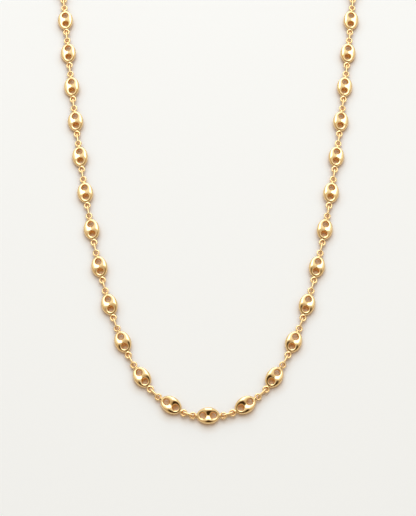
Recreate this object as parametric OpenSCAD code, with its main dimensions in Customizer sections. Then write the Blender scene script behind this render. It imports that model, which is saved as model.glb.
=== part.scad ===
// Puff link necklace, lying closed on a flat surface.
// Domed oval links with two round holes carry a ring eyelet at each end, and a small
// upright oval link joins the eyelets of two neighbours. The front of the loop is a U
// that bends most at its middle link, and the back is a plain arc that the clasp closes.
// X runs across the necklace, Y from the middle link to the clasp, Z up from the surface.

/* [Puff link] */
// Length of the domed body, without its eyelets
puff_l = 6.6; // [6.4:0.1:7]
// Width of the domed body
puff_w = 4.8; // [4.6:0.1:5]
// Thickness of the domed body at its middle
puff_t = 2.1; // [2.1:0.05:2.4]
// Radius of the outline at the two ends
end_r = 1.9; // [1.8:0.05:2]
// How far the face falls from its middle to its edge
face_drop = 0.36; // [0.25:0.01:0.45]
// Diameter of each of the two round holes
hole_d = 2.0; // [1.7:0.05:2.1]
// Distance between the centres of the two holes
hole_pitch = 3.0; // [2.9:0.05:3.1]
// Radius of the lip that rolls into each hole
lip_r = 0.4; // [0.3:0.02:0.44]

/* [Eyelets and small links] */
// Outer diameter of the ring eyelet at each end of a puff link
eyelet_d = 2.1; // [2.1:0.05:2.2]
// Wire of the eyelet
eyelet_wire = 0.5; // [0.42:0.02:0.5]
// Distance from the tip of the domed body to the eyelet's centre
eyelet_reach = 1.0; // [1:0.05:1.1]
// Wire of the small oval links
link_wire = 0.45; // [0.35:0.02:0.45]
// Clear space that a small link keeps round the wire that it holds
link_clearance = 0.14; // [0.1:0.01:0.15]

/* [Run of the chain] */
// Distance between the eyelet centres of two puff links where the chain is taut
joint_taut = 3.5; // [3.5:0.05:3.7]
// Slack at the joints next to the middle link
middle_slack = 0.8; // [0:0.05:0.8]
// Slack that builds up along the side strands
strand_slack = 0.6; // [0:0.05:0.6]
// Number of the link, counted from the middle, that leans about 45 degrees
bend_links = 1.4; // [1.3:0.05:1.6]
// How quickly the lean grows near the middle link
bend_power = 1.24; // [1.1:0.01:1.3]
// Lean that the side strands come close to
lean_max = 87.6; // [86:0.1:88]
// Turn from link to link where the back closes
back_turn = 17.3; // [16:0.1:17.6]

/* [Clasp] */
// Wire of the clasp's hook and of the end ring
clasp_wire = 0.8; // [0.7:0.05:0.84]
// Outer width of the clasp's hook
hook_w = 4.4; // [4:0.1:4.6]
// Length of the hook's straight sides
hook_straight = 1.6; // [1:0.1:2]
// Largest diameter of the clasp's tapered body
clasp_body_d = 1.8; // [1.4:0.1:2]
// Outer diameter of the end ring
ring_d = 4.2; // [3.8:0.1:4.4]

/* [Hidden] */
gold = "#e6b955";
// Puff links on each side of the middle one, and those of them that belong to the front U
side_links = 18;
front_links = 13;
puff_count = 2 * side_links + 1;
function two_digits(k) = k < 10 ? str("0", k) : str(k);
PUFF_NODES = [for (k = [1:puff_count]) str("puff_link_", two_digits(k))];

// Outline of the domed body: arcs of end_r about (+-end_x, 0), and of side_r about (0, -+side_y)
end_x = puff_l / 2 - end_r;
side_y = (pow(end_x, 2) - pow(puff_w / 2 - end_r, 2)) / (puff_w - 2 * end_r);
side_r = puff_w / 2 + side_y;
arc_meet_x = end_x + end_r * cos(atan2(side_y, end_x));
// Radii of the face along and across the link
face_long_r = face_radius(puff_l / 2);
face_cross_r = face_radius(puff_w / 2);
// How far the lips sit below the face, whose curve falls away from them
lip_sink = 0.12;

// Centre lines of the eyelets, of the end ring and of the hook's round ends
eyelet_r = (eyelet_d - eyelet_wire) / 2;
ring_r = (ring_d - clasp_wire) / 2;
hook_r = (hook_w - clasp_wire) / 2;
// Centre line of a small link's round ends, and of the taller ones that hold the clasp's wire
bow_r = eyelet_wire / 2 + link_wire / 2 + link_clearance;
tall_bow_r = clasp_wire / 2 + link_wire / 2 + link_clearance;
// Distance between the two wires that a taut small link holds
hold_l = joint_taut - 2 * eyelet_r;
// Reach of a puff link from its centre to an eyelet's centre
half_reach = puff_l / 2 + eyelet_reach;
// Height of every link's middle plane above the surface
mid_z = puff_t / 2;

// Where the chain ends on the right, and the line across the back that closes it
last_eyelet = link_place(side_links) + half_reach * heading(lean(side_links));
ring_x = last_eyelet[0] - eyelet_r - hold_l - ring_r;
hook_end_x = ring_x - ring_r - hold_l;
clasp_eye_x = -last_eyelet[0] + 2 * eyelet_r + hold_l;
clasp_l = hook_end_x - clasp_eye_x;
// The origin is the middle of the footprint, which ends at the middle link and at the hook
y_shift = (puff_w / 2 - last_eyelet[1] - hook_w / 2) / 2;

function face_radius(reach) = (pow(reach, 2) + pow(face_drop, 2)) / (2 * face_drop);

// Lean of link i of the right strand: 0 at the middle link, then up the U and round the back
function lean(i) =
    lean_max / 90 * atan(pow(min(i, front_links) / bend_links, bend_power))
    + back_turn * max(0, i - front_links);

// Distance between the eyelet centres at the joint before link i
function joint_l(i) =
    joint_taut - middle_slack * pow(0.4, i - 1) - strand_slack * pow(min(i, front_links) / 12, 2);

function joint_lean(i) = (lean(i - 1) + lean(i)) / 2;

function heading(a) = [cos(a), sin(a)];

// Centre of joint i, and of link i, from the link before
function joint_place(i) =
    link_place(i - 1)
    + half_reach * heading(lean(i - 1))
    + joint_l(i) / 2 * heading(joint_lean(i));

function link_place(i) =
    i == 0 ? [0, 0]
    : joint_place(i) + joint_l(i) / 2 * heading(joint_lean(i)) + half_reach * heading(lean(i));

// Puts a shape on the chain. The left strand mirrors the right one.
module on_chain(place, lean_angle, side = 1) {
    translate([side * place[0], place[1] + y_shift, mid_z])
        rotate([0, 0, side * lean_angle])
        children();
}

// Half of the outline, its long axis along Y, to be turned about that axis
module half_outline() {
    intersection() {
        union() {
            intersection() {
                translate([-side_y, 0]) circle(r = side_r, $fn = 192);
                square([2 * puff_w, 2 * arc_meet_x], center = true);
            }
            for (side = [-1, 1]) translate([0, side * end_x]) circle(r = end_r, $fn = 96);
        }
        translate([0, -puff_l]) square([puff_w, 2 * puff_l]);
    }
}

// A thick slab whose top is the face, curved less along the link than across it
module face_slab() {
    depth = puff_t + 0.6;
    sweep = 50;
    translate([0, 0, puff_t / 2 - face_long_r])
        rotate([90, 0, 0])
        rotate([0, 0, 90 - sweep / 2])
        rotate_extrude(angle = sweep, $fn = 360)
        intersection() {
            translate([face_long_r - face_cross_r, 0]) circle(r = face_cross_r, $fn = 240);
            translate([face_long_r - depth, -puff_w]) square([depth + 1, 2 * puff_w]);
        }
}

module domed_body() {
    intersection() {
        rotate([0, 90, 0]) rotate_extrude($fn = 96) half_outline();
        face_slab();
        mirror([0, 0, 1]) face_slab();
    }
}

// A round hole straight through, with a lip that rolls into it from each face
module lipped_hole() {
    lip_x = hole_d / 2 + lip_r;
    face_tilt = asin(hole_pitch / 2 / face_long_r);
    translate([hole_pitch / 2, 0, 0]) cylinder(d = hole_d, h = 2 * puff_t, center = true, $fn = 48);
    for (face = [0, 1])
        mirror([0, 0, face])
        translate([hole_pitch / 2, 0, puff_t / 2 - face_long_r])
        rotate([0, face_tilt, 0])
        translate([0, 0, face_long_r - lip_sink - lip_r])
        rotate_extrude($fn = 48)
        difference() {
            square([lip_x, lip_r + 0.8]);
            translate([lip_x, 0]) circle(r = lip_r, $fn = 48);
        }
}

module ring(centre_r, wire) {
    rotate_extrude($fn = 48) translate([centre_r, 0]) circle(d = wire, $fn = 32);
}

// The flat neck by which an eyelet is soldered to the tip of the body
module neck() {
    root_w = 1.5;
    tip_w = 1.0;
    linear_extrude(height = 0.9 * eyelet_wire, center = true)
        polygon([[-0.5, -root_w / 2], [0.25, -tip_w / 2], [0.25, tip_w / 2], [-0.5, root_w / 2]]);
}

// Link i counts from the middle one, and is negative on the left strand
module puff_link(i) {
    color(gold)
    on_chain(link_place(abs(i)), lean(abs(i)), i < 0 ? -1 : 1)
    difference() {
        union() {
            domed_body();
            for (end = [0, 180]) rotate([0, 0, end]) {
                translate([half_reach, 0, 0]) ring(eyelet_r, eyelet_wire);
                translate([puff_l / 2, 0, 0]) neck();
            }
        }
        for (end = [0, 180]) rotate([0, 0, end]) lipped_hole();
    }
}

// A closed oval of wire: two round ends and two straight sides, flat in the XY plane
module oval_ring(straight, centre_r, wire) {
    for (end = [0, 180])
        rotate([0, 0, end])
        translate([straight / 2, 0, 0])
        rotate([0, 0, -90])
        rotate_extrude(angle = 180, $fn = 48)
        translate([centre_r, 0])
        circle(d = wire, $fn = 32);
    for (side = [-1, 1])
        translate([0, side * centre_r, 0])
        rotate([0, 90, 0])
        cylinder(d = wire, h = straight, center = true, $fn = 32);
}

module small_link(centre_r) {
    rotate([90, 0, 0]) oval_ring(hold_l, centre_r, link_wire);
}

module small_links() {
    color(gold) {
        for (side = [-1, 1], i = [1:side_links])
            on_chain(joint_place(i), joint_lean(i), side) small_link(bow_r);
        on_chain([clasp_eye_x - eyelet_r - hold_l / 2, last_eyelet[1]], 0) small_link(bow_r);
        for (x = [ring_x - ring_r - hold_l / 2, ring_x + ring_r + hold_l / 2])
            on_chain([x, last_eyelet[1]], 0) small_link(tall_bow_r);
    }
}

// One plain piece: an eye, a tapered body and a closed oval hook
module clasp() {
    hook_x = clasp_l - hook_r - hook_straight / 2;
    body_l = hook_x - hook_straight / 2 - hook_r - eyelet_r;
    color(gold) on_chain([clasp_eye_x, last_eyelet[1]], 0) {
        ring(eyelet_r, eyelet_wire);
        translate([eyelet_r, 0, 0])
            rotate([0, 90, 0])
            cylinder(d1 = clasp_wire, d2 = clasp_body_d, h = body_l, $fn = 48);
        translate([hook_x, 0, 0]) oval_ring(hook_straight, hook_r, clasp_wire);
    }
}

module end_ring() {
    color(gold) on_chain([ring_x, last_eyelet[1]], 0) ring(ring_r, clasp_wire);
}

for (k = [1:puff_count])
    puff_link(k - 1 - side_links);
small_links();
clasp();
end_ring();
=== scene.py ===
import math

import bpy
import numpy as np
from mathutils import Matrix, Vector


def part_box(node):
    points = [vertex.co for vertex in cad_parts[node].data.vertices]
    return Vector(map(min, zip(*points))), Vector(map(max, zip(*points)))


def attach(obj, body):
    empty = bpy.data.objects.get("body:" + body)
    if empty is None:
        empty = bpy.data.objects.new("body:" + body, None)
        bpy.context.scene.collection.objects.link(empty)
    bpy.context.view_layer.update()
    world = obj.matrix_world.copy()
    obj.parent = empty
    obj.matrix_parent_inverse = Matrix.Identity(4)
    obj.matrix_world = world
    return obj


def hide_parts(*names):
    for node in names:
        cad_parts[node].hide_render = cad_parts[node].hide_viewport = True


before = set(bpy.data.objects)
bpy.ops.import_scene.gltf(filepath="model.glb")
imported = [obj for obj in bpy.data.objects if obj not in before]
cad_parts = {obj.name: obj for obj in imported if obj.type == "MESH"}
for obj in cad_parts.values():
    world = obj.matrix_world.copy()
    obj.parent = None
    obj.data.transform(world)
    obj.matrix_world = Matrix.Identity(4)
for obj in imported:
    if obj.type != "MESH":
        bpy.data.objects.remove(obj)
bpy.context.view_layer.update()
mm = 0.001
print("frame loaded, with", len(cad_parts), "nodes")

# The camera looks down at the front U, leaning back from straight above it
cameraSetup = {
    "aim": (-0.00005, -0.04209, 0.00105),  # where its axis meets the middle plane of the links
    "lean": 19.0,            # degrees from straight above
    "distance": 0.400,
    "lens": 95.12,
    "sensor": 36,            # mm, along the picture's long side
    "clip": (0.01, 50),
}


def makeCamera():
    lean = math.radians(cameraSetup["lean"])
    away = Vector((0, -math.sin(lean), math.cos(lean)))
    data = bpy.data.cameras.new("photoCamera")
    data.lens = cameraSetup["lens"]
    data.sensor_width = cameraSetup["sensor"]
    data.clip_start, data.clip_end = cameraSetup["clip"]
    camera = bpy.data.objects.new("photoCamera", data)
    camera.location = Vector(cameraSetup["aim"]) + cameraSetup["distance"] * away
    camera.rotation_mode = "QUATERNION"
    camera.rotation_quaternion = (-away).to_track_quat("-Z", "Y")
    bpy.context.scene.collection.objects.link(camera)
    bpy.context.scene.camera = camera


makeCamera()
print("camera placed")

# A softbox leans in from behind, and the pale room darkens in front, round the camera
lighting = {
    "boxLean": 44.0,         # degrees behind straight up
    "boxAim": (0, -0.04, 0),
    "boxDistance": 0.80,
    "boxSize": (0.54, 1.08),
    "boxPower": 3.7,
    "roomColor": (1.10, 1.11, 1.08),
    "horizonColor": (0.54, 0.44, 0.32),
    "horizonEdge": (0.35, 0.80),
    "backRise": 0.35,        # by which the back counts as higher than the front
    "frontColor": (0.60, 0.48, 0.34),
    "frontEdge": (-0.20, 0.35),  # from the front part of the room to the back, across straight up
    "darkColor": (0.056, 0.032, 0.012),
    "darkMiddle": (0.06, -0.37),  # of the dark part, as shares of the way to the horizon
    "darkReach": (0.38, 0.38),
    "darkEdge": (0.70, 1.20),
}


def directionAt(lean):
    turn = math.radians(lean)
    return Vector((0, math.sin(turn), math.cos(turn)))


def makeSoftbox():
    data = bpy.data.lights.new("softbox", "AREA")
    data.shape = "RECTANGLE"
    data.size, data.size_y = lighting["boxSize"]
    data.energy = lighting["boxPower"]
    light = bpy.data.objects.new("softbox", data)
    away = directionAt(lighting["boxLean"])
    light.location = Vector(lighting["boxAim"]) + lighting["boxDistance"] * away
    light.rotation_mode = "QUATERNION"
    light.rotation_quaternion = (-away).to_track_quat("-Z", "Y")
    light.visible_camera = False
    bpy.context.scene.collection.objects.link(light)


def smoothStep(tree, source, edge, ends=(0, 1)):
    step = tree.nodes.new("ShaderNodeMapRange")
    step.interpolation_type = "SMOOTHSTEP"
    step.inputs["From Min"].default_value, step.inputs["From Max"].default_value = edge
    step.inputs["To Min"].default_value, step.inputs["To Max"].default_value = ends
    tree.links.new(source, step.inputs["Value"])
    return step.outputs["Result"]


def mixedColor(tree, share, first, second):
    # Each colour is fixed, or comes from another node
    mix = tree.nodes.new("ShaderNodeMix")
    mix.data_type = "RGBA"
    tree.links.new(share, mix.inputs["Factor"])
    for name, color in (("A", first), ("B", second)):
        if isinstance(color, tuple):
            mix.inputs[name].default_value = (*color, 1)
        else:
            tree.links.new(color, mix.inputs[name])
    return mix.outputs["Result"]


def mathNode(tree, operation, *values):
    # Each value is a number, or comes from another node
    node = tree.nodes.new("ShaderNodeMath")
    node.operation = operation
    for k, value in enumerate(values):
        if isinstance(value, (int, float)):
            node.inputs[k].default_value = value
        else:
            tree.links.new(value, node.inputs[k])
    return node.outputs["Value"]


def makeRoom():
    world = bpy.data.worlds.new("paleRoom")
    world.use_nodes = True
    tree = world.node_tree
    background = next(n for n in tree.nodes if n.type == "BACKGROUND")
    place = tree.nodes.new("ShaderNodeTexCoord").outputs["Generated"]
    split = tree.nodes.new("ShaderNodeSeparateXYZ")
    tree.links.new(place, split.inputs[0])
    height = tree.nodes.new("ShaderNodeVectorMath")
    height.operation = "DOT_PRODUCT"
    height.inputs[1].default_value = (0, lighting["backRise"], 1)
    tree.links.new(place, height.inputs[0])
    middle, reach = lighting["darkMiddle"], lighting["darkReach"]
    fromDark = tree.nodes.new("ShaderNodeVectorMath")
    fromDark.operation = "MULTIPLY_ADD"
    fromDark.inputs[1].default_value = (1 / reach[0], 1 / reach[1], 0)
    fromDark.inputs[2].default_value = (-middle[0] / reach[0], -middle[1] / reach[1], 0)
    tree.links.new(place, fromDark.inputs[0])
    away = tree.nodes.new("ShaderNodeVectorMath")
    away.operation = "LENGTH"
    tree.links.new(fromDark.outputs["Vector"], away.inputs[0])
    rise = smoothStep(tree, height.outputs["Value"], lighting["horizonEdge"])
    back = smoothStep(tree, split.outputs["Y"], lighting["frontEdge"])
    dark = smoothStep(tree, away.outputs["Value"], lighting["darkEdge"], (1, 0))
    room = mixedColor(tree, rise, lighting["horizonColor"], lighting["roomColor"])
    room = mixedColor(tree, back, lighting["frontColor"], room)
    room = mixedColor(tree, dark, room, lighting["darkColor"])
    tree.links.new(room, background.inputs["Color"])
    bpy.context.scene.world = world


# Gold throws warm light on the paper close to it, most of all into its shade and inside the holes; all of
# it is painted on the paper: a painted warm tint near the gold, a painted warm shadow on the side away from
# the light, and a painted glow inside the holes
paper = {
    "halfWidth": 4.0,
    "color": (0.89, 0.935, 0.98),
    "roughness": 0.9,
    "gloss": 0.1,
    # painted warm light that the gold throws on the paper close to it
    "paintedBounceColor": (1.00, 0.66, 0.20),
    "nearReach": 1.5,        # mm
    "nearEdge": (0.15, 0.60),
    # painted glow: warm light that the paper gives off inside the holes
    "holeLight": (1.0, 0.58, 0.12),
    "holeLightStrength": 0.38,
    "holeEdge": (0.05, 0.35),
    # painted shadow: the paper darkens and warms where the links hide the light behind them
    "shadeLean": 60.0,       # degrees behind straight up, where the light comes from
    "shadeReach": 3.0,       # mm
    "shadeEdge": (0.45, 1.00),
    "shadeColor": (0.77, 0.69, 0.63),
    "samples": 8,
}


def openness(tree, reach):
    node = tree.nodes.new("ShaderNodeAmbientOcclusion")
    node.inputs["Distance"].default_value = reach * mm
    node.samples = paper["samples"]
    return node


def makeFloor():
    size = paper["halfWidth"]
    mesh = bpy.data.meshes.new("paleFloor")
    corners = [(-size, -size, 0), (size, -size, 0), (size, size, 0), (-size, size, 0)]
    mesh.from_pydata(corners, [], [(0, 1, 2, 3)])
    material = bpy.data.materials.new("palePaper")
    material.use_nodes = True
    tree = material.node_tree
    shader = next(n for n in tree.nodes if n.type == "BSDF_PRINCIPLED")
    shader.inputs["Roughness"].default_value = paper["roughness"]
    shader.inputs["Specular IOR Level"].default_value = paper["gloss"]
    near = openness(tree, paper["nearReach"])
    # Painted shadow, from occlusion tilted towards the light
    shade = openness(tree, paper["shadeReach"])
    toLight = tree.nodes.new("ShaderNodeCombineXYZ")
    light = directionAt(paper["shadeLean"])
    toLight.inputs["Y"].default_value = light.y
    toLight.inputs["Z"].default_value = light.z
    tree.links.new(toLight.outputs["Vector"], shade.inputs["Normal"])
    lit = smoothStep(tree, shade.outputs["AO"], paper["shadeEdge"])
    color = mixedColor(tree, lit, paper["shadeColor"], paper["color"])
    # Painted warm tint: the paper close to the gold takes a warm colour, standing in for light bounced off
    # the gold
    clear = smoothStep(tree, near.outputs["AO"], paper["nearEdge"])
    color = mixedColor(tree, clear, paper["paintedBounceColor"], color)
    tree.links.new(color, shader.inputs["Base Color"])
    # Painted glow: the paper inside the holes gives off warm light, standing in for light bounced off the
    # gold walls
    inHole = smoothStep(tree, near.outputs["AO"], paper["holeEdge"], (1, 0))
    glow = mixedColor(tree, inHole, (0.0, 0.0, 0.0), paper["holeLight"])
    tree.links.new(glow, shader.inputs["Emission Color"])
    shader.inputs["Emission Strength"].default_value = paper["holeLightStrength"]
    mesh.materials.append(material)
    floor = bpy.data.objects.new("paleFloor", mesh)
    bpy.context.scene.collection.objects.link(floor)


makeSoftbox()
makeRoom()
makeFloor()
bpy.context.scene.view_settings.view_transform = "Standard"
print("floor, softbox and room made")


def addSocket(tree, name, kind, direction="INPUT", value=None):
    socket = tree.interface.new_socket(name=name, in_out=direction, socket_type=kind)
    if value is not None:
        socket.default_value = value


# Marks that handling leaves on polished gold: smudges, fine scratches and a soft waviness
polish = {
    "smudgeDetail": 3,
    "smudgeEdge": (0.38, 0.68),      # of its noise, from clean to smudged
    "scratchDetail": 2,
    "scratchTurn": (0.3, 0.2, 0.7),
    "scratchStretch": (1, 0.07, 1),
    "scratchEdge": (0.56, 0.68),
    "scratchRoughness": 0.08,
    "scratchDepth": 0.02,            # as a share of the height of the bump
    "recessRoughness": 0.3,          # added deep inside the holes, where the shade is painted
    "bumpHeight": 0.02,              # mm
}


def makePolishGroup():
    group = bpy.data.node_groups.new("polishMarks", "ShaderNodeTree")
    addSocket(group, "Smudge Size", "NodeSocketFloat", value=260.0)
    addSocket(group, "Scratch Size", "NodeSocketFloat", value=2600.0)
    addSocket(group, "Clean Roughness", "NodeSocketFloat", value=0.06)
    addSocket(group, "Smudged Roughness", "NodeSocketFloat", value=0.16)
    addSocket(group, "Waviness", "NodeSocketFloat", value=0.5)
    addSocket(group, "Roughness", "NodeSocketFloat", "OUTPUT")
    addSocket(group, "Height", "NodeSocketFloat", "OUTPUT")
    addSocket(group, "Tone", "NodeSocketFloat", "OUTPUT")
    nodes, links = group.nodes, group.links
    given = nodes.new("NodeGroupInput")
    result = nodes.new("NodeGroupOutput")
    place = nodes.new("ShaderNodeTexCoord")
    smudge = nodes.new("ShaderNodeTexNoise")
    smudge.inputs["Detail"].default_value = polish["smudgeDetail"]
    links.new(place.outputs["Object"], smudge.inputs["Vector"])
    links.new(given.outputs["Smudge Size"], smudge.inputs["Scale"])
    links.new(smudge.outputs["Fac"], result.inputs["Tone"])
    stretch = nodes.new("ShaderNodeMapping")
    stretch.inputs["Rotation"].default_value = polish["scratchTurn"]
    stretch.inputs["Scale"].default_value = polish["scratchStretch"]
    links.new(place.outputs["Object"], stretch.inputs["Vector"])
    scratch = nodes.new("ShaderNodeTexNoise")
    scratch.inputs["Detail"].default_value = polish["scratchDetail"]
    links.new(stretch.outputs["Vector"], scratch.inputs["Vector"])
    links.new(given.outputs["Scratch Size"], scratch.inputs["Scale"])
    lines = nodes.new("ShaderNodeMapRange")
    lines.inputs["From Min"].default_value, lines.inputs["From Max"].default_value = polish["scratchEdge"]
    links.new(scratch.outputs["Fac"], lines.inputs["Value"])
    dull = nodes.new("ShaderNodeMapRange")
    dull.inputs["From Min"].default_value, dull.inputs["From Max"].default_value = polish["smudgeEdge"]
    links.new(smudge.outputs["Fac"], dull.inputs["Value"])
    links.new(given.outputs["Clean Roughness"], dull.inputs["To Min"])
    links.new(given.outputs["Smudged Roughness"], dull.inputs["To Max"])
    scratched = lines.outputs["Result"]
    roughness = mathNode(
        group, "MULTIPLY_ADD", scratched, polish["scratchRoughness"], dull.outputs["Result"])
    links.new(roughness, result.inputs["Roughness"])
    waves = mathNode(group, "MULTIPLY", smudge.outputs["Fac"], given.outputs["Waviness"])
    height = mathNode(group, "MULTIPLY_ADD", scratched, -polish["scratchDepth"], waves)
    links.new(height, result.inputs["Height"])
    return group


polishGroup = makePolishGroup()


def makeGold(name, setup):
    material = bpy.data.materials.new(name)
    material.use_nodes = True
    tree = material.node_tree
    nodes, links = tree.nodes, tree.links
    shader = next(n for n in nodes if n.type == "BSDF_PRINCIPLED")
    shader.inputs["Metallic"].default_value = 1
    marks = nodes.new("ShaderNodeGroup")
    marks.node_tree = polishGroup
    for socket, value in setup["marks"].items():
        marks.inputs[socket].default_value = value
    # Painted shade: a deeper, darker gold is painted far inside the holes and eyes, standing in for the
    # light that bounces between the gold walls; the gold is also rougher there
    paintedShade = nodes.new("ShaderNodeAttribute")
    paintedShade.attribute_name = "paintedShade"
    tone = mixedColor(tree, marks.outputs["Tone"], setup["bright"], setup["warm"])
    color = mixedColor(tree, paintedShade.outputs["Fac"], tone, setup["deep"])
    links.new(color, shader.inputs["Base Color"])
    roughness = mathNode(
        tree, "MULTIPLY_ADD", paintedShade.outputs["Fac"], polish["recessRoughness"], marks.outputs["Roughness"])
    links.new(roughness, shader.inputs["Roughness"])
    bump = nodes.new("ShaderNodeBump")
    bump.inputs["Strength"].default_value = setup["bump"]
    bump.inputs["Distance"].default_value = polish["bumpHeight"] * mm
    links.new(marks.outputs["Height"], bump.inputs["Height"])
    links.new(bump.outputs["Normal"], shader.inputs["Normal"])
    return material


puffGold = makeGold("puffGold", {
    "bright": (0.92, 0.69, 0.37),
    "warm": (0.88, 0.63, 0.31),
    # the painted shade colour, far inside the holes and eyelets
    "deep": (0.76, 0.34, 0.07),
    "bump": 0.4,
    "marks": {"Clean Roughness": 0.05, "Smudged Roughness": 0.11},
})
wireColors = {
    "bright": (0.93, 0.70, 0.38),
    "warm": (0.90, 0.64, 0.32),
    # the painted shade colour, inside the eyes and round the ring's inner side
    "deep": (0.75, 0.38, 0.10),
    "bump": 0.5,
}
wireGold = makeGold("wireGold", {
    **wireColors,
    "marks": {"Clean Roughness": 0.09, "Smudged Roughness": 0.18, "Smudge Size": 700.0},
})
claspGold = makeGold("claspGold", {
    **wireColors,
    "marks": {"Clean Roughness": 0.07, "Smudged Roughness": 0.15, "Smudge Size": 400.0},
})
print("gold finishes made")


# A shape is a field, which is negative inside it and zero on its surface
def roundUnion(a, b, radius):
    rest = np.hypot(np.maximum(radius - a, 0), np.maximum(radius - b, 0))
    return np.maximum(radius, np.minimum(a, b)) - rest


def roundCut(a, b, radius):
    rest = np.hypot(np.maximum(radius + a, 0), np.maximum(radius - b, 0))
    return np.minimum(-radius, np.maximum(a, -b)) + rest


def ringDistance(x, y, z, centreRadius, wireRadius):
    return np.hypot(np.hypot(x, y) - centreRadius, z) - wireRadius


# Steps towards the surface, in millimetres
pull = {
    "rounds": 4,
    "slopeStep": 0.004,
    "leastSlope2": 1e-6,
    "longestMove": 0.1,
    "evenRounds": 3,
    "evenPulls": 2,
}


def pullToSurface(field, points, rounds):
    # Newton steps along the slope of the field, until it is zero
    step = pull["slopeStep"]
    for _ in range(rounds):
        x, y, z = points.T
        value = field(x, y, z)
        slope = np.stack([
            field(x + step, y, z) - field(x - step, y, z),
            field(x, y + step, z) - field(x, y - step, z),
            field(x, y, z + step) - field(x, y, z - step),
        ], 1) / (2 * step)
        slope2 = np.maximum((slope ** 2).sum(1), pull["leastSlope2"])
        move = np.clip(value / slope2, -pull["longestMove"], pull["longestMove"])
        points = points - move[:, None] * slope
    return points


def skinOf(field, half, cell):
    # A closed net of quads over the surface where the field is zero, symmetric about its middle
    counts = [int(math.ceil(h / cell)) + 1 for h in half]
    axes = [(np.arange(-n, n + 2) - 0.5) * cell for n in counts]
    grid = np.stack(np.meshgrid(*axes, indexing="ij"), -1)
    value = field(grid[..., 0], grid[..., 1], grid[..., 2])
    inside = value < 0
    shape = np.array(value.shape)
    total = np.zeros((*(shape - 1), 3))
    hits = np.zeros(shape - 1)
    crossings = []
    for axis in range(3):
        low = [slice(None)] * 3
        high = [slice(None)] * 3
        low[axis], high[axis] = slice(0, -1), slice(1, None)
        low, high = tuple(low), tuple(high)
        found = np.argwhere(inside[low] != inside[high])
        a = value[low][tuple(found.T)]
        b = value[high][tuple(found.T)]
        spot = grid[tuple(found.T)].copy()
        spot[:, axis] += cell * a / (a - b)
        others = [k for k in range(3) if k != axis]
        corners = []
        for du, dv in ((0, 0), (1, 0), (1, 1), (0, 1)):
            cellAt = found.copy()
            cellAt[:, others[0]] -= du
            cellAt[:, others[1]] -= dv
            np.add.at(total, tuple(cellAt.T), spot)
            np.add.at(hits, tuple(cellAt.T), 1)
            corners.append(cellAt)
        crossings.append((axis, a < 0, corners))
    used = hits > 0
    number = np.full(used.shape, -1)
    number[used] = np.arange(used.sum())
    points = total[used] / hits[used][:, None]
    quads = []
    for axis, rising, corners in crossings:
        quad = np.stack([number[tuple(c.T)] for c in corners], 1)
        inward = rising if axis == 1 else ~rising
        quad[inward] = quad[inward][:, ::-1]
        quads.append(quad)
    return points, np.concatenate(quads)


def evened(points, quads, field):
    # Moves each point halfway to the middle of its neighbours, and keeps it on the surface
    for _ in range(pull["evenRounds"]):
        total = np.zeros_like(points)
        hits = np.zeros(len(points))
        for k in range(4):
            a, b = quads[:, k], quads[:, (k + 1) % 4]
            np.add.at(total, a, points[b])
            np.add.at(total, b, points[a])
            np.add.at(hits, a, 1)
            np.add.at(hits, b, 1)
        points = (points + total / hits[:, None]) / 2
        points = pullToSurface(field, points, pull["evenPulls"])
    return points


def skinMesh(name, field, half, cell, paintedShade, centre=(0, 0, 0)):
    points, quads = skinOf(field, half, cell)
    points = evened(pullToSurface(field, points, pull["rounds"]), quads, field)
    mesh = bpy.data.meshes.new(name)
    mesh.from_pydata(((points + np.array(centre)) * mm).tolist(), [], quads.tolist())
    mesh.polygons.foreach_set("use_smooth", np.ones(len(quads), bool))
    # How much painted shade each point takes, for the gold's finish
    depth = mesh.attributes.new("paintedShade", "FLOAT", "POINT")
    depth.data.foreach_set("value", paintedShade(*points.T).astype(np.float32))
    mesh.update()
    return mesh


# Sizes in millimetres. Width and thickness come from the frame.
puffLink = {
    "bodyLength": 6.6,
    "endRadius": 1.9,        # of the outline, at the two tips
    "faceDrop": 0.55,        # from the middle of the face to its long sides
    "tipDrop": 0.68,         # and to its two tips
    "shoulderIn": 0.42,      # how far in from the outline the shoulder begins
    "shoulderDown": 0.66,
    "holeRadius": 0.90,      # at the faces
    "waistRadius": 0.78,     # of the hole, halfway through
    "flareHeight": 0.8,      # from the waist to where the hole has its full radius
    "flareEnd": 1.3,         # where the flare stops, in flare heights
    "flareScale": 0.95,      # makes up for the slope of the flare
    "holePitch": 3.0,
    "lipRadius": 0.34,
    "drawnIn": (0.22, 0.70),  # how deep the face is drawn in round a hole, and how wide
    "valley": (0.24, 1.0, 1.55, 0.3),  # depth between the holes, half widths, and its rounding
    "eyeletReach": 1.0,      # from the tip to the middle of the eyelet
    "eyeletRadius": 0.8,
    "eyeletWire": 0.25,
    "neck": (0.46, 0.34, 0.18),  # half sizes of the solder between body and eyelet
    "neckOut": 0.02,         # from the tip to the middle of the neck
    "neckRoot": 0.8,         # end of the body that the neck can round
    "solderRadius": 0.12,
    "holeShade": (0.30, 0.2),  # below the face and in from the wall, where a deeper shade is painted on the gold
    "eyeShade": 0.18,
    "leanOut": 6.0,          # degrees that each link leans away from the middle of the loop
    "play": 1.2,             # degrees
    "cell": 0.13,
}
linkLow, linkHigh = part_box("puff_link_19")
middleHeight = (linkLow.z + linkHigh.z) / 2
puffLink["width"] = (linkHigh.y - linkLow.y) / mm
leanShare = 1 - math.cos(math.radians(puffLink["leanOut"]))
leanRise = (puffLink["width"] ** 2 / 8 / puffLink["faceDrop"]) * leanShare
puffLink["thickness"] = (linkHigh.z - linkLow.z) / mm - 2 * leanRise
halfReach = puffLink["bodyLength"] / 2 + puffLink["eyeletReach"]


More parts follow.
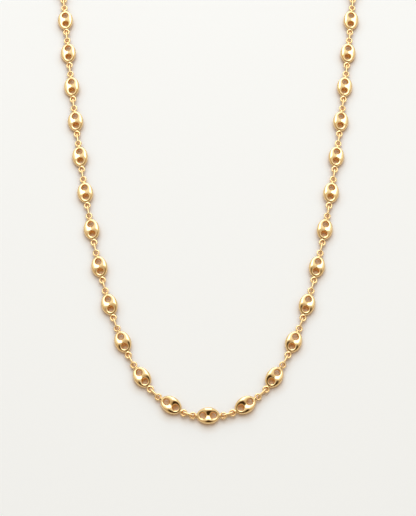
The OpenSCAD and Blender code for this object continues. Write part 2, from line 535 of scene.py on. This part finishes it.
def outlineDistance(x, y):
    # Arcs about the two ends, joined by flatter arcs along the sides
    endX = puffLink["bodyLength"] / 2 - puffLink["endRadius"]
    spare = puffLink["width"] / 2 - puffLink["endRadius"]
    sideY = (endX ** 2 - spare ** 2) / (2 * spare)
    sideRadius = puffLink["width"] / 2 + sideY
    atEnd = np.hypot(x - endX, y) - puffLink["endRadius"]
    atSide = np.hypot(x, y + sideY) - sideRadius
    return np.where(y * endX < (x - endX) * sideY, atEnd, atSide)


def faceRadius(reach, drop):
    return (reach ** 2 + drop ** 2) / (2 * drop)


def faceHeight(x, y):
    longRadius = faceRadius(puffLink["bodyLength"] / 2, puffLink["tipDrop"])
    crossRadius = faceRadius(puffLink["width"] / 2, puffLink["faceDrop"])
    across = longRadius - crossRadius + np.sqrt(np.maximum(crossRadius ** 2 - y ** 2, 1))
    dome = puffLink["thickness"] / 2 - longRadius + np.sqrt(np.maximum(across ** 2 - x ** 2, 1))
    depth, width = puffLink["drawnIn"]
    fromHole = [
        np.maximum(np.hypot(x - s * puffLink["holePitch"] / 2, y) - puffLink["holeRadius"], 0)
        for s in (1, -1)
    ]
    dome -= depth * sum(np.exp(-(d / width) ** 2) for d in fromHole)
    sag, alongX, alongY, soft = puffLink["valley"]
    sides = np.maximum(1 - (np.hypot(y, soft) - soft) / alongY, 0)
    return dome - sag * np.exp(-(x / alongX) ** 2) * sides


def holeDistance(x, y, z):
    # Each hole narrows from both faces to its waist
    waist = puffLink["waistRadius"]
    opening = np.minimum(z / puffLink["flareHeight"], puffLink["flareEnd"]) ** 2
    flare = (puffLink["holeRadius"] - waist) * opening
    return np.hypot(x - puffLink["holePitch"] / 2, y) - waist - flare


def ovalLength(x, y, z, sizes):
    return np.sqrt((x / sizes[0]) ** 2 + (y / sizes[1]) ** 2 + (z / sizes[2]) ** 2)


def puffLinkField(x, y, z):
    x, y, z = np.abs(x), np.abs(y), np.abs(z)
    side = outlineDistance(x, y) / puffLink["shoulderIn"]
    face = (z - faceHeight(x, y)) / puffLink["shoulderDown"]
    rest = np.hypot(np.maximum(side + 1, 0), np.maximum(face + 1, 0))
    body = (np.minimum(np.maximum(side, face) + 1, 0) + rest - 1) * puffLink["shoulderIn"]
    body = roundCut(body, puffLink["flareScale"] * holeDistance(x, y, z), puffLink["lipRadius"])
    eyelet = ringDistance(x - halfReach, y, z, puffLink["eyeletRadius"], puffLink["eyeletWire"])
    neckX = puffLink["bodyLength"] / 2 + puffLink["neckOut"]
    sizes = puffLink["neck"]
    neck = (ovalLength(x - neckX, y, z, sizes) - 1) * sizes[2]
    ends = roundUnion(eyelet, neck, 2 * puffLink["solderRadius"])
    return np.where(
        x > puffLink["bodyLength"] / 2 - puffLink["neckRoot"],
        roundUnion(body, ends, puffLink["solderRadius"]),
        body,
    )


# Where shade is painted on a puff link: inside its holes below the face, and inside its eyelets
def puffLinkPaintedShade(x, y, z):
    x, y, z = np.abs(x), np.abs(y), np.abs(z)
    down, inwards = puffLink["holeShade"]
    under = np.clip((faceHeight(x, y) - z) / down, 0, 1)
    inHole = np.clip(1 - holeDistance(x, y, z) / inwards, 0, 1) * under
    eye = np.hypot(x - halfReach, y) - puffLink["eyeletRadius"] + puffLink["eyeletWire"]
    inEye = np.clip(1 - eye / puffLink["eyeShade"], 0, 1) * (x > puffLink["bodyLength"] / 2)
    return np.maximum(inHole, inEye)


def nodePlace(name):
    # The middle of a puff link, and the direction of its long axis, from its farthest points
    farShare = 0.985
    points = np.array([v.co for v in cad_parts[name].data.vertices])[:, :2]
    centre = (points.min(0) + points.max(0)) / 2
    away = points - centre
    reach = np.hypot(*away.T)
    ends = away[reach > farShare * reach.max()]
    ends = ends * np.sign(ends @ ends[0])[:, None]
    direction = ends.mean(0)
    return centre, direction / np.hypot(*direction)


def orderedPlaces(names):
    # All long axes point along the chain, from the first link to the last
    places = [nodePlace(n) for n in names]
    for k, (centre, direction) in enumerate(places):
        ahead = places[k + 1][0] - centre if k + 1 < len(places) else centre - places[k - 1][0]
        if direction @ ahead < 0:
            places[k] = (centre, -direction)
    return places


puffNames = sorted(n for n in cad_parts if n.startswith("puff_link_"))
puffPlaces = orderedPlaces(puffNames)


def carrierOf(name, places):
    # One point for each link, with the turn that it takes
    mesh = bpy.data.meshes.new(name)
    mesh.from_pydata([(p[0], p[1], middleHeight) for p, _ in places], [], [])
    turn = mesh.attributes.new("turn", "FLOAT", "POINT")
    turn.data.foreach_set("value", [math.atan2(d[1], d[0]) for _, d in places])
    carrier = bpy.data.objects.new(name, mesh)
    bpy.context.scene.collection.objects.link(carrier)
    return carrier


def runTree(carrier, tree, values):
    modifier = carrier.modifiers.new("links", "NODES")
    modifier.node_group = tree
    names = {s.name: s.identifier for s in tree.interface.items_tree if s.in_out == "INPUT"}
    for name, value in values.items():
        modifier[names[name]] = value
    carrier.update_tag()
    bpy.context.view_layer.update()
    graph = bpy.context.evaluated_depsgraph_get()
    mesh = bpy.data.meshes.new_from_object(
        carrier.evaluated_get(graph), preserve_all_data_layers=True, depsgraph=graph)
    carrier.modifiers.remove(modifier)
    bpy.data.objects.remove(carrier)
    return mesh


def randomPlay(tree, given, seedShift):
    # An angle between minus and plus the play
    play = tree.nodes.new("FunctionNodeRandomValue")
    play.data_type = "FLOAT"
    tree.links.new(mathNode(tree, "MULTIPLY", given.outputs["Play"], -1), play.inputs[2])
    tree.links.new(given.outputs["Play"], play.inputs[3])
    seed = mathNode(tree, "ADD", given.outputs["Seed"], seedShift)
    tree.links.new(seed, play.inputs["Seed"])
    return play.outputs[1]


def placeLinks(tree, points, shape, lean):
    # Turns a copy of the shape to each point's own direction, with a little play from link to link
    nodes, links = tree.nodes, tree.links
    given = next(n for n in nodes if n.type == "GROUP_INPUT")
    turn = nodes.new("GeometryNodeInputNamedAttribute")
    turn.data_type = "FLOAT"
    turn.inputs["Name"].default_value = "turn"
    roll = mathNode(tree, "ADD", randomPlay(tree, given, 0), lean)
    angles = nodes.new("ShaderNodeCombineXYZ")
    links.new(roll, angles.inputs["X"])
    links.new(randomPlay(tree, given, 17), angles.inputs["Y"])
    links.new(turn.outputs["Attribute"], angles.inputs["Z"])
    rotation = nodes.new("FunctionNodeEulerToRotation")
    links.new(angles.outputs["Vector"], rotation.inputs["Euler"])
    copies = nodes.new("GeometryNodeInstanceOnPoints")
    links.new(points, copies.inputs["Points"])
    links.new(shape, copies.inputs["Instance"])
    links.new(rotation.outputs["Rotation"], copies.inputs["Rotation"])
    real = nodes.new("GeometryNodeRealizeInstances")
    links.new(copies.outputs["Instances"], real.inputs["Geometry"])
    finish = nodes.new("GeometryNodeSetMaterial")
    links.new(real.outputs["Geometry"], finish.inputs["Geometry"])
    links.new(given.outputs["Finish"], finish.inputs["Material"])
    result = nodes.new("NodeGroupOutput")
    links.new(finish.outputs["Geometry"], result.inputs["Links"])


def newTree(name, extra):
    tree = bpy.data.node_groups.new(name, "GeometryNodeTree")
    addSocket(tree, "Places", "NodeSocketGeometry")
    for socket, kind in extra.items():
        addSocket(tree, socket, kind)
    addSocket(tree, "Play", "NodeSocketFloat")
    addSocket(tree, "Seed", "NodeSocketInt")
    addSocket(tree, "Finish", "NodeSocketMaterial")
    addSocket(tree, "Links", "NodeSocketGeometry", "OUTPUT")
    given = tree.nodes.new("NodeGroupInput")
    return tree, given


def makeStrungTree():
    tree, given = newTree("strungPuffLinks", {"Link": "NodeSocketObject"})
    link = tree.nodes.new("GeometryNodeObjectInfo")
    tree.links.new(given.outputs["Link"], link.inputs["Object"])
    placeLinks(tree, given.outputs["Places"], link.outputs["Geometry"], math.radians(puffLink["leanOut"]))
    return tree


def finishedPiece(name, mesh, nodes):
    mesh.name = name
    piece = bpy.data.objects.new(name, mesh)
    bpy.context.scene.collection.objects.link(piece)
    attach(piece, "root")
    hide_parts(*nodes)
    print(name, "has", sum(len(p.vertices) - 2 for p in mesh.polygons), "triangles")


def makePuffLinks():
    half = (
        halfReach + puffLink["eyeletRadius"] + puffLink["eyeletWire"],
        puffLink["width"] / 2,
        puffLink["thickness"] / 2,
    )
    mesh = skinMesh("onePuffLink", puffLinkField, half, puffLink["cell"], puffLinkPaintedShade)
    oneLink = bpy.data.objects.new("onePuffLink", mesh)
    tree = makeStrungTree()
    third = len(puffNames) // 3
    runs = (
        ("puffLinksLeft", slice(0, third), 3),
        ("puffLinksMiddle", slice(third, -third), 6),
        ("puffLinksRight", slice(-third, None), 8),
    )
    for name, part, seed in runs:
        strung = runTree(carrierOf(name + "Places", puffPlaces[part]), tree, {
            "Link": oneLink,
            "Play": math.radians(puffLink["play"]),
            "Seed": seed,
            "Finish": puffGold,
        })
        finishedPiece(name, strung, puffNames[part])
    bpy.data.objects.remove(oneLink)


makePuffLinks()
print("puff links strung")

# Sizes in millimetres, of the ovals of wire that join the puff links
smallLink = {
    "holdLength": 1.9,       # between the wires that it holds
    "bowRadius": 0.615,
    "tallBowRadius": 0.765,  # where it holds the clasp's thicker wire
    "wireRadius": 0.225,
    "claspWire": 0.8,        # diameter
    "bowSteps": 34,
    "wireSides": 12,
    "play": 3.0,             # degrees
    "seed": 5,
}


def makeOvalTree():
    tree, given = newTree("wireOvals", {
        "Hold Length": "NodeSocketFloat",
        "Bow Radius": "NodeSocketFloat",
        "Wire Radius": "NodeSocketFloat",
        "Bow Steps": "NodeSocketInt",
        "Wire Sides": "NodeSocketInt",
    })
    nodes, links = tree.nodes, tree.links
    circle = nodes.new("GeometryNodeCurvePrimitiveCircle")
    links.new(given.outputs["Bow Steps"], circle.inputs["Resolution"])
    links.new(given.outputs["Bow Radius"], circle.inputs["Radius"])
    place = nodes.new("GeometryNodeInputPosition")
    split = nodes.new("ShaderNodeSeparateXYZ")
    links.new(place.outputs["Position"], split.inputs[0])
    side = mathNode(tree, "SIGN", split.outputs["X"])
    halfHold = mathNode(tree, "MULTIPLY", given.outputs["Hold Length"], 0.5)
    offset = nodes.new("ShaderNodeCombineXYZ")  # draws the two halves of the circle apart
    links.new(mathNode(tree, "MULTIPLY", side, halfHold), offset.inputs["X"])
    oval = nodes.new("GeometryNodeSetPosition")
    links.new(circle.outputs["Curve"], oval.inputs["Geometry"])
    links.new(offset.outputs["Vector"], oval.inputs["Offset"])
    section = nodes.new("GeometryNodeCurvePrimitiveCircle")
    links.new(given.outputs["Wire Sides"], section.inputs["Resolution"])
    links.new(given.outputs["Wire Radius"], section.inputs["Radius"])
    wire = nodes.new("GeometryNodeCurveToMesh")
    links.new(oval.outputs["Geometry"], wire.inputs["Curve"])
    links.new(section.outputs["Curve"], wire.inputs["Profile Curve"])
    placeLinks(tree, given.outputs["Places"], wire.outputs["Mesh"], math.pi / 2)
    return tree


def between(a, b):
    return (a + b) / 2, (b - a) / np.hypot(*(b - a))


def eyeletOf(k, end):
    centre, direction = puffPlaces[k]
    return centre + end * halfReach * mm * direction


ringLow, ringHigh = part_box("end_ring")
claspLow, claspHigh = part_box("clasp")
backY = (ringLow.y + ringHigh.y) / 2
ringRadius = (ringHigh.x - ringLow.x) / 2 - smallLink["claspWire"] / 2 * mm
ringX = (ringLow.x + ringHigh.x) / 2
hookEndX = claspHigh.x - smallLink["claspWire"] / 2 * mm
eyeX = claspLow.x + (puffLink["eyeletRadius"] + puffLink["eyeletWire"]) * mm
jointPlaces = [between(eyeletOf(k, 1), eyeletOf(k + 1, -1)) for k in range(len(puffPlaces) - 1)]
jointPlaces.append(between(eyeletOf(0, -1), np.array((eyeX, backY))))
ringRight = ringX + ringRadius
tallPlaces = [
    between(np.array((ringX - ringRadius, backY)), np.array((hookEndX, backY))),
    between(np.array((ringRight + smallLink["holdLength"] * mm, backY)), np.array((ringRight, backY))),
]


def makeSmallLinks():
    tree = makeOvalTree()
    points, faces = [], []
    for name, places, bow in (("regular", jointPlaces, "bowRadius"), ("tall", tallPlaces, "tallBowRadius")):
        mesh = runTree(carrierOf(name + "LinkPlaces", places), tree, {
            "Hold Length": smallLink["holdLength"] * mm,
            "Bow Radius": smallLink[bow] * mm,
            "Wire Radius": smallLink["wireRadius"] * mm,
            "Bow Steps": smallLink["bowSteps"],
            "Wire Sides": smallLink["wireSides"],
            "Play": math.radians(smallLink["play"]),
            "Seed": smallLink["seed"],
            "Finish": wireGold,
        })
        start = len(points)
        points += [tuple(v.co) for v in mesh.vertices]
        faces += [tuple(start + i for i in p.vertices) for p in mesh.polygons]
    joined = bpy.data.meshes.new("smallLinks")
    joined.from_pydata(points, [], faces)
    joined.polygons.foreach_set("use_smooth", np.ones(len(faces), bool))
    joined.materials.append(wireGold)
    finishedPiece("smallLinks", joined, ["small_links"])


makeSmallLinks()
print("small links hung between the eyelets")

# Sizes in millimetres, of the plain clasp
claspShape = {
    "wire": 0.4,
    "hookWidth": 4.4,
    "hookStraight": 1.6,
    "bodyRadius": 0.9,
    "bodyEdge": 0.3,
    "taper": 1.5,
    "solderRadius": 0.25,
    "eyeShade": (0.2, 0.15, 1.2),  # of the painted shade: in from the eye's centre line, its half width, and where it ends
    "cell": 0.12,
}
claspLength = (hookEndX - eyeX) / mm
claspMiddle = (claspLow.x + claspHigh.x) / 2 / mm


def claspField(x, y, z):
    x = x + claspMiddle - eyeX / mm  # now counted from the middle of the eye
    wire = claspShape["wire"]
    hookRadius = claspShape["hookWidth"] / 2 - wire
    hookX = claspLength - hookRadius - claspShape["hookStraight"] / 2
    bodyEnd = hookX - claspShape["hookStraight"] / 2 - hookRadius
    eye = ringDistance(x, y, z, puffLink["eyeletRadius"], puffLink["eyeletWire"])
    along = np.clip((x - puffLink["eyeletRadius"]) / (bodyEnd - puffLink["eyeletRadius"]), 0, 1)
    thick = wire + (claspShape["bodyRadius"] - wire) * np.sin(along * math.pi / 2) ** claspShape["taper"]
    inBody = np.maximum(puffLink["eyeletRadius"] - x, x - bodyEnd)
    body = roundCut(np.hypot(y, z) - thick, -inBody, claspShape["bodyEdge"])
    stretched = np.sign(x - hookX) * np.maximum(np.abs(x - hookX) - claspShape["hookStraight"] / 2, 0)
    hook = ringDistance(stretched, y, z, hookRadius, wire)
    return roundUnion(roundUnion(eye, body, claspShape["solderRadius"]), hook, claspShape["solderRadius"])


# Where shade is painted on the clasp: a band round the inside of its eye
def claspPaintedShade(x, y, z):
    x = x + claspMiddle - eyeX / mm
    inwards, width, end = claspShape["eyeShade"]
    fromShade = np.abs(np.hypot(x, y) - puffLink["eyeletRadius"] + inwards)
    return np.clip(1 - fromShade / width, 0, 1) * (x < end)


def makeClasp():
    half = ((claspHigh.x - claspLow.x) / 2 / mm, claspShape["hookWidth"] / 2, claspShape["bodyRadius"])
    centre = (claspMiddle, backY / mm, middleHeight / mm)
    mesh = skinMesh("clasp", claspField, half, claspShape["cell"], claspPaintedShade, centre)
    mesh.materials.append(claspGold)
    finishedPiece("claspPiece", mesh, ["clasp"])


# Sizes in millimetres, of the ring at the end and the bead of solder on it
endRing = {
    "wire": 0.4,
    "bead": (0.22, 0.42, 0.42),  # half sizes
    "beadScale": 0.3,
    "beadSink": 0.03,
    "solderRadius": 0.1,
    "shade": (0.4, 0.2),     # of the painted shade: in from the centre line, and its width
    "cell": 0.12,
}


def endRingField(x, y, z):
    ring = ringDistance(x, y, z, ringRadius / mm, endRing["wire"])
    bead = ovalLength(x, y - ringRadius / mm, z, endRing["bead"]) - 1
    return roundUnion(ring, bead * endRing["beadScale"] + endRing["beadSink"], endRing["solderRadius"])


# Where shade is painted on the end ring: a band round its inner side
def endRingPaintedShade(x, y, z):
    inwards, width = endRing["shade"]
    return np.clip(1 - (np.hypot(x, y) - ringRadius / mm + inwards) / width, 0, 1)


def makeEndRing():
    reach = ringRadius / mm + endRing["wire"]
    half = (reach, reach, endRing["wire"])
    centre = (ringX / mm, backY / mm, middleHeight / mm)
    mesh = skinMesh("endRing", endRingField, half, endRing["cell"], endRingPaintedShade, centre)
    mesh.materials.append(claspGold)
    finishedPiece("endRing", mesh, ["end_ring"])


makeClasp()
makeEndRing()
print("clasp and end ring made")
